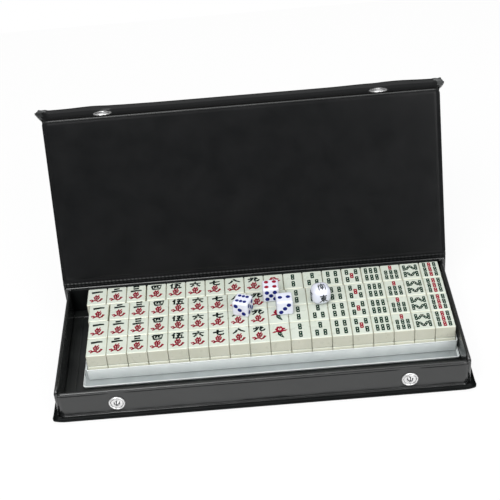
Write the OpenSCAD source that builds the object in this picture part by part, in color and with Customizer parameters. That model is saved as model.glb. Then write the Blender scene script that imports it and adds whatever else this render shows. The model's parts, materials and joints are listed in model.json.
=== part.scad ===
// Folding vinyl case for a small set of game tiles. Open, with the lid leaning back.
// X runs to the right, Y from the front wall to the hinge, Z up. Z = 0 is the underside.

/* [Case] */
// width over the side walls
case_w = 295; // [294:1:310]
// depth over the front and back walls
case_d = 122; // [120:1:123]
// height of the wall tops above the underside
wall_top = 24.5; // [24:0.5:27]
// thickness of a covered wall
wall_t = 2.5; // [2:0.1:2.5]
// how far the base panel's welded edge stands out past the walls
base_flange = 3.7; // [3:0.1:5]
// thickness of the outer vinyl sheet
cover_t = 0.8; // [0.6:0.1:0.9]
// thickness of the thinner lining vinyl
lining_t = 0.5; // [0.4:0.1:0.6]
// thickness of the card in base and lid
board_t = 2; // [1.6:0.1:2]
// width of the weld tabs that hold the walls to the floor
tab_w = 8.5; // [7:0.5:9]

/* [Lid] */
// width of the lid panel
lid_w = 301; // [299:1:306]
// length from the lid hinge to the fold of the flap
lid_l = 130.5; // [130:0.5:131.5]
// angle the open lid leans back from upright
lid_lean = 19.5; // [5:0.5:30]
// width of the pressed edge round the lid
weld_w = 3.5; // [3:0.5:4.5]
// height of the folding strip between back wall and lid
strip_h = 3; // [2.8:0.1:3.5]

/* [Flap] */
// length of the flap from its fold
flap_l = 25; // [23:0.5:28]
// how far the flap's welded ends flare out past the lid
flap_flare = 8; // [0:0.5:9]
// droop of the open flap below level
flap_droop = 16; // [5:1:20]
// inward slope of the shut flap
flap_slope = 7.5; // [5:0.5:9]
// distance from the fold to the middle of a snap
snap_from_fold = 15.6; // [15:0.1:16]
// distance of each snap from the middle of the case
snap_x = 104; // [60:1:120]
// radius of the snap plates
snap_r = 6.3; // [5:0.1:6.5]

/* [Tiles] */
// clear floor between the left wall and the tile block
left_room = 17.6; // [17:0.2:18]
// clearance between the tile block and the right wall
right_room = 1.68; // [1.6:0.04:1.8]
// length of a tile
tile_l = 20; // [19:0.1:20.1]
// thickness of a tile
tile_t = 10.5; // [10:0.1:10.5]
// space between neighbouring tiles
tile_gap = 0.04; // [0.02:0.02:0.06]
// bevel on every tile edge
tile_bevel = 0.9; // [0.5:0.1:1.2]
// how far the upper back row has slid to the left
row_spread = 3.4; // [0:0.2:3.4]

/* [Trays and dice] */
// sheet thickness of the trays
tray_t = 0.5; // [0.4:0.05:0.55]
// height of the tile tray's rim above its floor
tray_h = 9.4; // [8:0.2:9.4]
// front edge of the lower tray, from the middle of the case
ledge_front = 34; // [30:0.5:34]
// side of a spotted die
die_w = 12.5; // [10:0.5:12.5]
// side of the wind die
wind_w = 15; // [12:0.5:15]

/* [Hidden] */
$fn = 48;
hw = case_w / 2;
hd = case_d / 2;
floor_z = cover_t + board_t + lining_t;
tray_z = floor_z + 0.5;
tile_z0 = tray_z + 2 * tray_t;
tile_z1 = tile_z0 + tile_t;
tile_top = tile_z1 + tile_t;
skin = 0.5;
// fold lines at the back: the lower one lets the lid lie back, the upper one shuts it
fold_y = hd + 0.9;
lay_z = wall_top + 0.5;
lid_z = lay_z + strip_h;
lid_turn = 90 - lid_lean;
edge_gap = 1;
// layers of the pressed edge, measured from the fold line towards the tiles
in_n = 0.65;
mid_n = 0.15;
out_n = -0.65;
back_n = mid_n - board_t - cover_t;
post_r = 0.24 * snap_r;
block_left = hw - wall_t - left_room;
pitch_x = (case_w - 2 * wall_t - left_room - right_room) / 18;
tile_w = pitch_x - tile_gap;
pitch_y = tile_l + tile_gap;
block_y0 = hd - 4.6 - 4 * pitch_y;
flap_board = 0.8;
flap_back = mid_n - flap_board - cover_t;
stud_z = lid_z - snap_from_fold * cos(flap_slope) + in_n * sin(flap_slope);

// flat panel with rounded corners, lying on z
module panel(x0, x1, y0, y1, z0, z1, r) {
  translate([0, 0, z0]) linear_extrude(z1 - z0) union() {
    translate([x0 + r, y0]) square([x1 - x0 - 2 * r, y1 - y0]);
    translate([x0, y0 + r]) square([x1 - x0, y1 - y0 - 2 * r]);
    for (x = [x0 + r, x1 - r], y = [y0 + r, y1 - r]) translate([x, y]) circle(r);
  }
}

module block(x0, x1, y0, y1, z0, z1) {
  translate([x0, y0, z0]) cube([x1 - x0, y1 - y0, z1 - z0]);
}

// base panel
module base_cover() {
  color([0.09, 0.09, 0.1]) panel(-hw - base_flange, hw + base_flange,
    -hd - base_flange, hd + base_flange, 0, cover_t, 2);
}

module base_board() {
  color([0.45, 0.4, 0.33]) panel(-hw - 0.1, hw + 0.1, -hd - 0.1, hd + 0.1,
    cover_t, cover_t + board_t, 1);
}

// upper sheet of the base panel: flat over the card, pressed down to a rim round it
module floor_lining() {
  color([0.12, 0.13, 0.13]) difference() {
    union() {
      panel(-hw - base_flange, hw + base_flange, -hd - base_flange, hd + base_flange,
        cover_t, cover_t + 0.6, 2);
      panel(-hw - 0.7, hw + 0.7, -hd - 0.7, hd + 0.7, cover_t, floor_z, 1.6);
    }
    panel(-hw - 0.1, hw + 0.1, -hd - 0.1, hd + 0.1, 0, cover_t + board_t, 1);
  }
}

// ribbed tabs of the wall skins, pressed onto the floor
module tab(len, turn, x, y) {
  translate([x, y, floor_z]) rotate([0, 0, turn]) union() {
    translate([-len / 2, 0, 0]) cube([len, tab_w, 0.4]);
    for (i = [1:3]) translate([-len / 2, i * tab_w / 4 - 0.35, 0]) cube([len, 0.7, 0.5]);
  }
}

module weld_tabs() {
  color([0.08, 0.08, 0.09]) {
    tab(case_w - 2 * wall_t - 0.4, 0, 0, -hd + wall_t);
    tab(case_w - 2 * wall_t - 0.4, 180, 0, hd - wall_t);
    tab(case_d - 2 * wall_t - 2 * tab_w - 0.6, 270, -hw + wall_t, 0);
    tab(case_d - 2 * wall_t - 2 * tab_w - 0.6, 90, hw - wall_t, 0);
  }
}

// walls: a vinyl skin folded over a card
module wall_profile(t, top, r) {
  union() {
    translate([-t / 2, floor_z]) square([t, top - floor_z - r]);
    translate([-t / 2 + r, floor_z]) square([t - 2 * r, top - floor_z]);
    for (s = [-1, 1]) translate([s * (t / 2 - r), top - r]) circle(r);
  }
}

module wall(len, t, top, r) {
  rotate([90, 0, 90]) translate([0, 0, -len / 2]) linear_extrude(len) wall_profile(t, top, r);
}

module wall_cover(len) {
  difference() {
    wall(len, wall_t, wall_top, 0.9);
    wall(len + 2, wall_t - 2 * skin, wall_top - skin, 0.4);
  }
}

module wall_board(len) {
  wall(len, wall_t - 2 * skin, wall_top - skin, 0.4);
}

module rivet_bores() {
  for (s = [-1, 1]) translate([s * snap_x, -hd - 1, stud_z]) rotate([-90, 0, 0])
    cylinder(h = wall_t + 2, r = post_r);
}

module front_wall_cover() {
  color([0.1, 0.11, 0.11]) difference() {
    translate([0, -hd + wall_t / 2, 0]) wall_cover(case_w - 2 * wall_t);
    rivet_bores();
  }
}

module front_wall_board() {
  color([0.45, 0.4, 0.33]) difference() {
    translate([0, -hd + wall_t / 2, 0]) wall_board(case_w - 2 * wall_t);
    rivet_bores();
  }
}

module back_wall_cover() {
  color([0.1, 0.11, 0.11]) translate([0, hd - wall_t / 2, 0]) wall_cover(case_w - 2 * wall_t);
}

module back_wall_board() {
  color([0.45, 0.4, 0.33]) translate([0, hd - wall_t / 2, 0]) wall_board(case_w - 2 * wall_t);
}

module left_wall_cover() {
  color([0.1, 0.11, 0.11]) translate([-hw + wall_t / 2, 0, 0]) rotate([0, 0, 90])
    wall_cover(case_d - 2 * wall_t);
}

module left_wall_board() {
  color([0.45, 0.4, 0.33]) translate([-hw + wall_t / 2, 0, 0]) rotate([0, 0, 90])
    wall_board(case_d - 2 * wall_t);
}

module right_wall_cover() {
  color([0.1, 0.11, 0.11]) translate([hw - wall_t / 2, 0, 0]) rotate([0, 0, 90])
    wall_cover(case_d - 2 * wall_t);
}

module right_wall_board() {
  color([0.45, 0.4, 0.33]) translate([hw - wall_t / 2, 0, 0]) rotate([0, 0, 90])
    wall_board(case_d - 2 * wall_t);
}

// rounded upright seams where two walls meet
module corner_seams() {
  color([0.07, 0.07, 0.08]) for (sx = [-1, 1], sy = [-1, 1]) intersection() {
    translate([sx * (hw - wall_t), sy * (hd - wall_t), floor_z])
      cylinder(h = wall_top - floor_z, r = wall_t);
    translate([sx * (hw - wall_t / 2), sy * (hd - wall_t / 2), wall_top / 2])
      cube([wall_t, wall_t, wall_top], center = true);
  }
}

// hinge
// outer sheet behind the back wall, wider than the wall like the rims of base and lid
module spine_cover() {
  color([0.09, 0.09, 0.1]) block(-lid_w / 2, lid_w / 2, hd, hd + 0.8, floor_z, lay_z - 0.4);
}

// strip between two pressed fold lines above the back wall
module hinge_strip() {
  color([0.08, 0.08, 0.09]) union() {
    block(-lid_w / 2 + 1, lid_w / 2 - 1, fold_y - 0.4, fold_y + 0.4, lay_z + 0.4, lid_z - 0.7);
    block(-hw + 2, hw - 2, fold_y - 0.6, fold_y + 0.6, lay_z + 0.6, lay_z + 1);
    block(-hw + 2, hw - 2, fold_y - 0.6, fold_y + 0.6, lid_z - 1.3, lid_z - 0.9);
  }
}

// lid, drawn flat: y is the distance from its hinge, z points to the tiles
module lid_place() {
  translate([0, fold_y, lid_z]) rotate([lid_turn, 0, 0]) children();
}

// the outer sheet is a shallow pan: flat over the card, pressed thin round the edge
module lid_cover() {
  color([0.09, 0.09, 0.1]) lid_place() difference() {
    union() {
      panel(-lid_w / 2, lid_w / 2, edge_gap, lid_l - edge_gap, out_n, mid_n, 2);
      panel(-lid_w / 2 + weld_w - 0.8, lid_w / 2 - weld_w + 0.8, edge_gap + weld_w - 0.8,
        lid_l - edge_gap - weld_w + 0.8, back_n, mid_n, 2);
    }
    panel(-lid_w / 2 + weld_w, lid_w / 2 - weld_w, edge_gap + weld_w,
      lid_l - edge_gap - weld_w, back_n + cover_t, mid_n + 1, 1.2);
  }
}

module lid_board() {
  color([0.45, 0.4, 0.33]) lid_place() panel(-lid_w / 2 + weld_w, lid_w / 2 - weld_w,
    edge_gap + weld_w, lid_l - edge_gap - weld_w, back_n + cover_t, mid_n, 1.2);
}

module lid_lining() {
  color([0.13, 0.14, 0.14]) lid_place() panel(-lid_w / 2, lid_w / 2, edge_gap,
    lid_l - edge_gap, mid_n, in_n, 2);
}

// bead along the fold line of the flap
module flap_fold() {
  color([0.08, 0.08, 0.09]) lid_place() translate([-lid_w / 2 + 1, lid_l, 0])
    rotate([0, 90, 0]) cylinder(h = lid_w - 2, r = 0.6);
}

// flap, drawn flat: y is the distance from its fold, z points to its inner side
module flap_place() {
  translate([0, fold_y + lid_l * sin(lid_lean), lid_z + lid_l * cos(lid_lean)])
    rotate([-flap_droop, 0, 0]) children();
}

// outline of the flap's sheets
module flap_sheet(z0, z1) {
  e = lid_w / 2;
  f = e + flap_flare;
  translate([0, 0, z0]) linear_extrude(z1 - z0) polygon([
    [-e, edge_gap], [e, edge_gap], [e + 0.15 * flap_flare, edge_gap + 4],
    [f, flap_l - 4.5], [f - 3.5, flap_l], [3.5 - f, flap_l], [-f, flap_l - 4.5],
    [-e - 0.15 * flap_flare, edge_gap + 4]]);
}

module flap_bores() {
  for (s = [-1, 1]) translate([s * snap_x, snap_from_fold, -4]) cylinder(h = 8, r = post_r);
}

module flap_cover() {
  color([0.09, 0.09, 0.1]) flap_place() difference() {
    union() {
      flap_sheet(out_n, mid_n);
      panel(-lid_w / 2 + weld_w - 0.8, lid_w / 2 - weld_w + 0.8, edge_gap + 2.7,
        flap_l - 1.7, flap_back, mid_n, 2);
    }
    panel(-lid_w / 2 + weld_w, lid_w / 2 - weld_w, edge_gap + weld_w,
      flap_l - 2.5, flap_back + cover_t, mid_n + 1, 1.2);
    flap_bores();
  }
}

module flap_stiffener() {
  color([0.45, 0.4, 0.33]) flap_place() difference() {
    panel(-lid_w / 2 + weld_w, lid_w / 2 - weld_w, edge_gap + weld_w,
      flap_l - 2.5, flap_back + cover_t, mid_n, 1.2);
    flap_bores();
  }
}

module flap_lining() {
  color([0.13, 0.14, 0.14]) flap_place() difference() {
    flap_sheet(mid_n, in_n);
    flap_bores();
  }
}

// snap fasteners
// domed caps on the outer side of the flap, each with its rivet
module snap_caps() {
  color([0.75, 0.75, 0.76]) flap_place() for (s = [-1, 1])
    translate([s * snap_x, snap_from_fold, 0]) union() {
      rotate_extrude() polygon([[0, flap_back], [snap_r, flap_back], [snap_r, flap_back - 0.5],
        [snap_r - 0.8, flap_back - 1.1], [3, flap_back - 1.5], [0, flap_back - 1.6]]);
      translate([0, 0, flap_back - 0.1]) cylinder(h = in_n - flap_back + 0.1, r = post_r);
    }
}

// ring sockets on the inner side, tilted to sit square on the studs when shut
module snap_sockets() {
  color([0.75, 0.75, 0.76]) flap_place() for (s = [-1, 1])
    translate([s * snap_x, snap_from_fold, 0]) difference() {
      translate([0, 0, in_n]) rotate([-0.4 * flap_slope, 0, 0]) rotate_extrude()
        polygon([[0, -0.6], [snap_r, -0.6], [snap_r, 0.6], [snap_r - 0.7, 1.1],
          [4.4, 1.1], [4, 1.9], [3.1, 1.9], [2.8, 0.8], [0, 0.8]]);
      translate([-9, -9, -9 + in_n]) cube([18, 18, 9]);
    }
}

// bevelled stud plates on the front wall with the nub that enters a socket
module snap_studs() {
  color([0.78, 0.78, 0.79]) for (s = [-1, 1]) translate([s * snap_x, -hd, stud_z])
    rotate([90, 0, 0]) rotate_extrude()
      polygon([[0, 0], [snap_r, 0], [snap_r, 0.4], [snap_r - 1.1, 1], [snap_r - 1.5, 0.8],
        [2.5, 0.8], [2.4, 1.1], [2.2, 3.1], [1.8, 3.4], [0, 3.4]]);
}

// rivets through the front wall with their washers on the inside
module snap_posts() {
  color([0.7, 0.7, 0.71]) for (s = [-1, 1]) translate([s * snap_x, -hd, stud_z])
    rotate([-90, 0, 0]) union() {
      cylinder(h = wall_t + 0.2, r = post_r);
      translate([0, 0, wall_t]) cylinder(h = 0.7, r = snap_r - 2.1);
    }
}

// trays
tray_x0 = -block_left - 0.1 - tray_t;
tray_x1 = -block_left + 18 * pitch_x + 0.1 + tray_t;
tray_y0 = block_y0 - 1.2 - tray_t;
tray_y1 = block_y0 + 4 * pitch_y + 0.1 + tray_t;
low_x0 = tray_x0 - 3.4;
low_x1 = tray_x1 + 0.9;
low_y1 = tray_y1 + 0.9;

// shallow clear tray under the tile tray, with a low lip that shows at front and left
module lower_tray() {
  color([0.7, 0.74, 0.75]) difference() {
    panel(low_x0, low_x1, -ledge_front, low_y1, tray_z, tray_z + 1.9, 1.5);
    panel(low_x0 + tray_t, low_x1 - tray_t, -ledge_front + tray_t, low_y1 - tray_t,
      tray_z + tray_t, tray_z + 5, 1);
  }
}

module tile_tray() {
  color([0.72, 0.76, 0.77]) difference() {
    union() {
      panel(tray_x0, tray_x1, tray_y0, tray_y1, tray_z + tray_t, tile_z0 + tray_h, 1.5);
      panel(tray_x0 - 0.4, tray_x1 + 0.3, tray_y0 - 1, tray_y1 + 0.3,
        tile_z0 + tray_h - 0.7, tile_z0 + tray_h, 1.8);
    }
    panel(tray_x0 + tray_t, tray_x1 - tray_t, tray_y0 + tray_t, tray_y1 - tray_t,
      tile_z0, tile_z0 + tray_h + 5, 0.5);
  }
}

// dice
module die(w, k) {
  intersection() {
    cube([w, w, w], center = true);
    sphere(r = w * k, $fn = 64);
  }
}

// cols counts tiles from the middle of the case, rows from the front of the block
module die_at(cols, rows, w, turn, k) {
  translate([cols * pitch_x, block_y0 + rows * pitch_y, tile_top + w / 2]) rotate([0, 0, turn]) die(w, k);
}

module pip_die_a() {
  color([0.95, 0.95, 0.95]) die_at(-0.698, 1.844, die_w, -23, 0.71);
}

module pip_die_b() {
  color([0.95, 0.95, 0.95]) die_at(0.758, 2.573, die_w, 0, 0.71);
}

module pip_die_c() {
  color([0.95, 0.95, 0.95]) die_at(1.376, 1.735, die_w, 1.5, 0.71);
}

module wind_die() {
  color([0.95, 0.95, 0.95]) die_at(3.225, 2.099, wind_w, 8, 0.64);
}

// tiles: flat faces with bevelled edges
module bevelled(a, b, h) {
  linear_extrude(h, center = true) polygon([
    [-a / 2 + tile_bevel, -b / 2], [a / 2 - tile_bevel, -b / 2],
    [a / 2, -b / 2 + tile_bevel], [a / 2, b / 2 - tile_bevel],
    [a / 2 - tile_bevel, b / 2], [-a / 2 + tile_bevel, b / 2],
    [-a / 2, b / 2 - tile_bevel], [-a / 2, -b / 2 + tile_bevel]]);
}

module tile() {
  intersection() {
    bevelled(tile_w, tile_l, tile_t);
    rotate([90, 0, 0]) bevelled(tile_w, tile_t, tile_l);
    rotate([0, 90, 0]) bevelled(tile_t, tile_l, tile_w);
  }
}

// the back row has slid left, most at its left end
function slide_of(row, col) = row == 3 ? row_spread * max(0, 1 - col / 17) * (col < 3 ? 1 : 0.82)
  : row == 2 && col < 1 ? 0.9 * row_spread / 3.4 : 0;

module tile_at(layer, row, col) {
  translate([-block_left + (col + 0.5) * pitch_x - (layer == 1 ? slide_of(row, col) : 0),
    block_y0 + (row + 0.5) * pitch_y, tile_z0 + (layer + 0.5) * tile_t]) tile();
}

module upper_column(col) {
  color([0.86, 0.87, 0.8]) for (row = [0:3]) tile_at(1, row, col);
}

module character_1() { upper_column(0); }
module character_2() { upper_column(1); }
module character_3() { upper_column(2); }
module character_4() { upper_column(3); }
module character_5() { upper_column(4); }
module character_6() { upper_column(5); }
module character_7() { upper_column(6); }
module character_8() { upper_column(7); }
module character_9() { upper_column(8); }
module bamboo_1() { upper_column(9); }
module bamboo_2() { upper_column(10); }
module bamboo_3() { upper_column(11); }
module bamboo_4() { upper_column(12); }
module bamboo_5() { upper_column(13); }
module bamboo_6() { upper_column(14); }
module bamboo_7() { upper_column(15); }
module bamboo_8() { upper_column(16); }
module bamboo_9() { upper_column(17); }

module lower_block(c0, c1, r0, r1) {
  color([0.86, 0.87, 0.8]) for (col = [c0:c1], row = [r0:r1]) tile_at(0, row, col);
}

module circle_tiles() { lower_block(0, 8, 0, 3); }
module wind_tiles() { lower_block(9, 12, 0, 3); }
module dragon_tiles() { lower_block(13, 15, 0, 3); }
module flower_tiles() { lower_block(16, 16, 0, 3); }
module season_tiles() { lower_block(17, 17, 0, 3); }

base_cover();
base_board();
floor_lining();
weld_tabs();
front_wall_cover();
back_wall_cover();
left_wall_cover();
right_wall_cover();
front_wall_board();
back_wall_board();
left_wall_board();
right_wall_board();
corner_seams();
spine_cover();
hinge_strip();
lid_cover();
lid_board();
lid_lining();
flap_fold();
flap_cover();
flap_stiffener();
flap_lining();
snap_caps();
snap_sockets();
snap_studs();
snap_posts();
lower_tray();
tile_tray();
pip_die_a();
pip_die_b();
pip_die_c();
wind_die();
character_1();
character_2();
character_3();
character_4();
character_5();
character_6();
character_7();
character_8();
character_9();
bamboo_1();
bamboo_2();
bamboo_3();
bamboo_4();
bamboo_5();
bamboo_6();
bamboo_7();
bamboo_8();
bamboo_9();
circle_tiles();
wind_tiles();
dragon_tiles();
flower_tiles();
season_tiles();
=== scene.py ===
import json, math
import bpy, bmesh
from mathutils import Matrix, Vector


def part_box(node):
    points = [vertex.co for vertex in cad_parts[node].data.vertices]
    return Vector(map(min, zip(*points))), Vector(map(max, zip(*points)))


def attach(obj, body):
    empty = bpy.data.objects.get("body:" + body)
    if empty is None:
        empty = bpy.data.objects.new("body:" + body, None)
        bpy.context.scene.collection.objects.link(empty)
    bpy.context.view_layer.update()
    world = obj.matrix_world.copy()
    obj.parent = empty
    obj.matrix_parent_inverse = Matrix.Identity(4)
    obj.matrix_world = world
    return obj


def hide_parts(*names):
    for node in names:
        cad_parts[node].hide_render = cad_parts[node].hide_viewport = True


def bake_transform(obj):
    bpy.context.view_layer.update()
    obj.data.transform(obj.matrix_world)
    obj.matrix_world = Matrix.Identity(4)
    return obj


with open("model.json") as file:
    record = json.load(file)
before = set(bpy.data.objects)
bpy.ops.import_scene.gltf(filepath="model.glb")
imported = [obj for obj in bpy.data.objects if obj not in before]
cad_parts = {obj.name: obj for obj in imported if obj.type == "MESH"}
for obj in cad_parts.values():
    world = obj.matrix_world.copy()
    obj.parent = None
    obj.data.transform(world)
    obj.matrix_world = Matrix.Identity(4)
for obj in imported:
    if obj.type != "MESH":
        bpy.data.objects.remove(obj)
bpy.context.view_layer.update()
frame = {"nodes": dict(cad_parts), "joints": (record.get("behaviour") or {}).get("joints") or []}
jointAt = {j["name"]: j for j in frame["joints"]}
mm = 0.001


def boxMm(node):
    low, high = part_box(node)
    return low / mm, high / mm


camera = {
    "place": (6.38, -666.6, 577.1), "focalPixels": 1161.5, "photoPixels": 500, "sensor": 36,
    "pitch": 36.04, "roll": -5.11, "yaw": -0.65,
}


def makeCamera():
    pitch, roll, yaw = (math.radians(camera[k]) for k in ("pitch", "roll", "yaw"))
    ahead = Vector((math.sin(yaw) * math.cos(pitch), math.cos(yaw) * math.cos(pitch), -math.sin(pitch)))
    right = Vector((math.cos(yaw), -math.sin(yaw), 0))
    up = right.cross(ahead)
    rightTilted = math.cos(roll) * right + math.sin(roll) * up
    upTilted = -math.sin(roll) * right + math.cos(roll) * up
    data = bpy.data.cameras.new("photoCamera")
    data.sensor_width = camera["sensor"]
    data.lens = camera["focalPixels"] / camera["photoPixels"] * camera["sensor"]
    data.clip_start = 0.01
    obj = bpy.data.objects.new("photoCamera", data)
    bpy.context.scene.collection.objects.link(obj)
    turn = Matrix((rightTilted, upTilted, -ahead)).transposed()
    obj.matrix_world = Matrix.Translation(Vector(camera["place"]) * mm) @ turn.to_4x4()
    bpy.context.scene.camera = obj


makeCamera()
print("camera ready")


def newMaterial(name):
    mat = bpy.data.materials.new(name)
    mat.use_nodes = True
    mat.node_tree.nodes.clear()
    return mat, mat.node_tree


def addNode(tree, kind, **values):
    node = tree.nodes.new(kind)
    for key, value in values.items():
        setattr(node, key, value)
    return node


def setInputs(node, **values):
    for key, value in values.items():
        node.inputs[key.replace("_", " ")].default_value = value


def wire(tree, source, node, socket=0):
    # from a node's first output, or from the very output that is given
    tree.links.new(source.outputs[0] if isinstance(source, bpy.types.Node) else source, node.inputs[socket])


def startMaterial(name, **values):
    mat, tree = newMaterial(name)
    shader = addNode(tree, "ShaderNodeBsdfPrincipled")
    wire(tree, shader, addNode(tree, "ShaderNodeOutputMaterial"))
    setInputs(shader, **values)
    return mat, tree, shader, addNode(tree, "ShaderNodeTexCoord").outputs["Object"]


def noiseAt(tree, spot, scale, detail=3, roughness=0.55):
    noise = addNode(tree, "ShaderNodeTexNoise")
    setInputs(noise, Scale=scale, Detail=detail, Roughness=roughness)
    wire(tree, spot, noise, "Vector")
    return noise


def tintBy(tree, shader, source, stops, socket="Base Color"):
    ramp = addNode(tree, "ShaderNodeValToRGB")
    for element, (place, colour) in zip(ramp.color_ramp.elements, stops):
        element.position = place
        element.color = (*colour, 1)
    wire(tree, source, ramp)
    wire(tree, ramp, shader, socket)


def roughBy(tree, shader, source, low, high):
    tintBy(tree, shader, source, [(place, (value,) * 3) for place, value in (low, high)], "Roughness")


def bumpBy(tree, node, height, strength, distance):
    # a bump into the node's normal; returned so that another bump can lie below it
    bump = addNode(tree, "ShaderNodeBump")
    setInputs(bump, Strength=strength, Distance=distance)
    wire(tree, height, bump, "Height")
    wire(tree, bump, node, "Normal")
    return bump


def makeGrainGroup():
    tree = bpy.data.node_groups.new("vinylGrain", "ShaderNodeTree")
    for name, way, kind in (("Vector", "INPUT", "Vector"), ("Scale", "INPUT", "Float"),
                            ("Height", "OUTPUT", "Float"), ("Wear", "OUTPUT", "Float")):
        tree.interface.new_socket(name, in_out=way, socket_type="NodeSocket" + kind)
    source, sink = addNode(tree, "NodeGroupInput"), addNode(tree, "NodeGroupOutput")
    place = source.outputs["Vector"]
    cells = addNode(tree, "ShaderNodeTexVoronoi", feature="SMOOTH_F1")
    setInputs(cells, Smoothness=0.35)
    wire(tree, place, cells, "Vector")
    wire(tree, source.outputs["Scale"], cells, "Scale")
    mix = addNode(tree, "ShaderNodeMath", operation="MULTIPLY_ADD")
    mix.inputs[1].default_value = 0.35
    wire(tree, noiseAt(tree, place, 2600, 2), mix)
    wire(tree, cells.outputs["Distance"], mix, 2)
    wire(tree, mix, sink, "Height")
    wire(tree, noiseAt(tree, place, 55, 4), sink, "Wear")
    return tree


grainGroup = makeGrainGroup()


def vinylMaterial(name, dark, light, rough, grain, cell=1100, swell=0.5, shineLevel=0.5, roll=None):
    mat, tree, shader, spot = startMaterial(name, IOR=1.5, Specular_IOR_Level=shineLevel)
    group = addNode(tree, "ShaderNodeGroup", node_tree=grainGroup)
    setInputs(group, Scale=cell)
    wire(tree, spot, group, "Vector")
    tintBy(tree, shader, group.outputs["Wear"], [(0.3, dark), (0.75, light)])
    roughBy(tree, shader, group.outputs["Wear"], (0.3, rough[0]), (0.7, rough[1]))
    fine = bumpBy(tree, shader, group.outputs["Height"], grain, 0.00012)
    if roll:
        # the skin leans back a little more towards the folded top
        bottom, top, depth = roll
        place = addNode(tree, "ShaderNodeSeparateXYZ")
        wire(tree, spot, place)
        rise = addNode(tree, "ShaderNodeMapRange", interpolation_type="SMOOTHSTEP")
        setInputs(rise, From_Min=bottom, From_Max=top, To_Min=1, To_Max=0)
        wire(tree, place.outputs[2], rise)
        fine = bumpBy(tree, fine, rise, 1, depth)
    bumpBy(tree, fine, noiseAt(tree, spot, 26), swell, 0.0012)
    return mat


def plainInk(name, colour, second):
    mat, tree, shader, spot = startMaterial(name, Roughness=0.62, IOR=1.5, Specular_IOR_Level=0.07)
    grain = noiseAt(tree, spot, 900)
    tintBy(tree, shader, grain, [(0.35, colour), (0.72, second)])
    bumpBy(tree, shader, grain, 0.3, 0.00008)
    return mat


def resinMaterial(name, colour, second, rough=0.3, coat=0.25):
    mat, tree, shader, spot = startMaterial(
        name, Roughness=rough, IOR=1.5, Coat_Weight=coat, Coat_Roughness=0.12, Subsurface_Weight=0.08,
        Subsurface_Radius=(0.0018, 0.0016, 0.0012), Subsurface_Scale=1)
    cloud = noiseAt(tree, spot, 60)
    tintBy(tree, shader, cloud, [(0.3, colour), (0.7, second)])
    roughBy(tree, shader, noiseAt(tree, spot, 220, 2), (0.35, rough * 0.9), (0.7, rough * 1.15))
    bumpBy(tree, shader, cloud, 0.15, 0.0004)
    return mat


def nickelMaterial(name, colour):
    mat, tree, shader, spot = startMaterial(name, Metallic=0.75, Roughness=0.3)
    smear = noiseAt(tree, spot, 240, 5)
    tintBy(tree, shader, smear, [(0.3, tuple(c * 0.86 for c in colour)), (0.7, colour)])
    roughBy(tree, shader, smear, (0.3, 0.22), (0.75, 0.4))
    bumpBy(tree, shader, smear, 0.15, 0.0002)
    return mat


def cardMaterial():
    mat, tree, shader, spot = startMaterial("greyCard", Roughness=0.85)
    fibre = noiseAt(tree, spot, 700, 5, 0.7)
    tintBy(tree, shader, fibre, [(0.3, (0.16, 0.13, 0.1)), (0.7, (0.25, 0.21, 0.16))])
    bumpBy(tree, shader, fibre, 0.4, 0.0002)
    return mat


def milkyMaterial(name, colour, second, through):
    mat, tree, shader, spot = startMaterial(name, Roughness=0.3, IOR=1.49, Transmission_Weight=through)
    tintBy(tree, shader, noiseAt(tree, spot, 90, 4), [(0.3, colour), (0.72, second)])
    bumpBy(tree, shader, noiseAt(tree, spot, 1500, 2), 0.2, 0.0001)
    return mat


vinyls = {
    "outerVinyl": dict(dark=(0.007, 0.008, 0.008), light=(0.013, 0.014, 0.014), rough=(0.2, 0.28), grain=0.16,
                       shineLevel=0.75),
    "wallVinyl": dict(dark=(0.007, 0.008, 0.008), light=(0.012, 0.013, 0.013), rough=(0.2, 0.26), grain=0.16,
                      swell=0.9, shineLevel=0.7, roll=(0.006, 0.034, 0.0034)),
    "weldVinyl": dict(dark=(0.008, 0.009, 0.009), light=(0.10, 0.105, 0.105), rough=(0.3, 0.42), grain=0.5,
                      cell=700, swell=1.2, shineLevel=0.7),
    # painted shade: an almost black, dull vinyl for the fold crease and the valley behind the fold
    "creaseVinyl": dict(dark=(0.001, 0.001, 0.001), light=(0.003, 0.003, 0.003), rough=(0.6, 0.8), grain=0.1,
                        shineLevel=0.05),
    "baseVinyl": dict(dark=(0.004, 0.005, 0.005), light=(0.008, 0.009, 0.009), rough=(0.42, 0.5), grain=0.16,
                      shineLevel=0.07),
    "liningVinyl": dict(dark=(0.003, 0.0034, 0.0038), light=(0.005, 0.0053, 0.0058), rough=(0.3, 0.34),
                        grain=0.1, cell=1500, swell=0.1, shineLevel=0.24),
    "floorVinyl": dict(dark=(0.006, 0.007, 0.007), light=(0.014, 0.016, 0.015), rough=(0.28, 0.42), grain=0.2,
                       cell=1300, swell=0.6),
}
milkySheets = {
    "trayInner": ((0.66, 0.71, 0.71), (0.76, 0.81, 0.80), 0.3),
    "trayOuter": ((0.53, 0.58, 0.58), (0.61, 0.66, 0.66), 0.5),
    # whiter sheet for rims and the tray foot: a painted highlight
    "trayEdge": ((0.86, 0.90, 0.90), (0.93, 0.96, 0.96), 0.15),
}
resins = {
    "ivoryFace": ((0.55, 0.60, 0.52), (0.60, 0.64, 0.57)),
    # tile sides: a creamier tone, and painted brighter than the top to make up for the light they get
    "ivorySide": ((0.63, 0.64, 0.53), (0.70, 0.70, 0.59)),
    "whiteDie": ((0.68, 0.70, 0.80), (0.74, 0.76, 0.85), 0.18, 0.5),
}
inks = {
    "blackInk": ((0.003, 0.007, 0.006), (0.006, 0.014, 0.012)),
    "greenInk": ((0.003, 0.022, 0.014), (0.005, 0.036, 0.024)),
    "redInk": ((0.22, 0.003, 0.018), (0.33, 0.007, 0.036)),
    "blueInk": ((0.006, 0.012, 0.13), (0.012, 0.022, 0.2)),
    "ivoryFill": ((0.60, 0.64, 0.54), (0.66, 0.69, 0.6)),
}
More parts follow.
